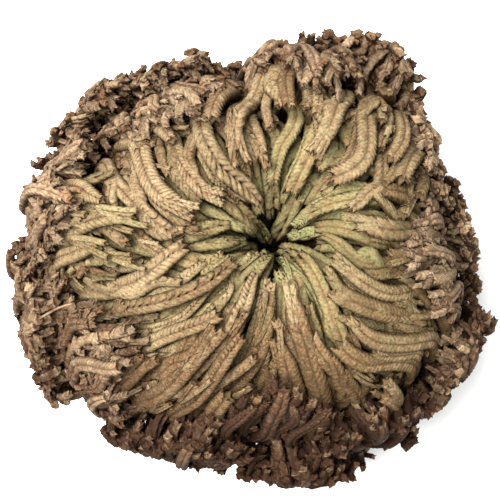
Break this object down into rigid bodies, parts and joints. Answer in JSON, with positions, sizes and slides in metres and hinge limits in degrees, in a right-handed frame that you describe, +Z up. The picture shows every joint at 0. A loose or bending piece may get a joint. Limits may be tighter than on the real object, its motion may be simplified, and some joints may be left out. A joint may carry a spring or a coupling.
{
  "type": "rose of jericho",
  "caption": "Dried resurrection plant curled into a ball: scaly fronds hook over a dark central pit, above a short crown that stands on a flat tuft of roots.",
  "frame": {"origin": "middle of the small flat spot under the root tuft, on which the ball rests", "axes": "+Z up out of the flat spot towards the pit in the top; +Y towards the cleft in the outline"},
  "size_m": [0.0794, 0.0759, 0.0537],
  "materials": {
    "root": "matte, fibrous",
    "frond_old": "matte, dry and scaly",
    "frond_middle": "matte, dry and scaly",
    "frond_young": "matte, dry and scaly"
  },
  "bodies": {
    "root": {"root_crown": "root", "frond_01": "frond_old", "frond_02": "frond_old", "frond_03": "frond_old", "frond_04": "frond_old", "frond_05": "frond_old", "frond_06": "frond_old", "frond_07": "frond_old", "frond_08": "frond_old", "frond_09": "frond_old", "frond_10": "frond_old", "frond_11": "frond_old", "frond_12": "frond_old", "frond_13": "frond_old", "frond_14": "frond_old", "frond_15": "frond_old", "frond_16": "frond_old", "frond_17": "frond_middle", "frond_18": "frond_middle", "frond_19": "frond_middle", "frond_20": "frond_middle", "frond_21": "frond_middle", "frond_22": "frond_middle", "frond_23": "frond_middle", "frond_24": "frond_middle", "frond_25": "frond_middle", "frond_26": "frond_middle", "frond_27": "frond_middle", "frond_28": "frond_middle", "frond_29": "frond_middle", "frond_30": "frond_young", "frond_31": "frond_young", "frond_32": "frond_young", "frond_33": "frond_young", "frond_34": "frond_young", "frond_35": "frond_young", "frond_36": "frond_young", "frond_37": "frond_young", "frond_38": "frond_young", "frond_39": "frond_young", "frond_40": "frond_young", "frond_41": "frond_young", "frond_42": "frond_young", "frond_43": "frond_young", "frond_44": "frond_young", "frond_45": "frond_young", "frond_46": "frond_young", "frond_47": "frond_young", "frond_48": "frond_young"}
  },
  "joints": []
}
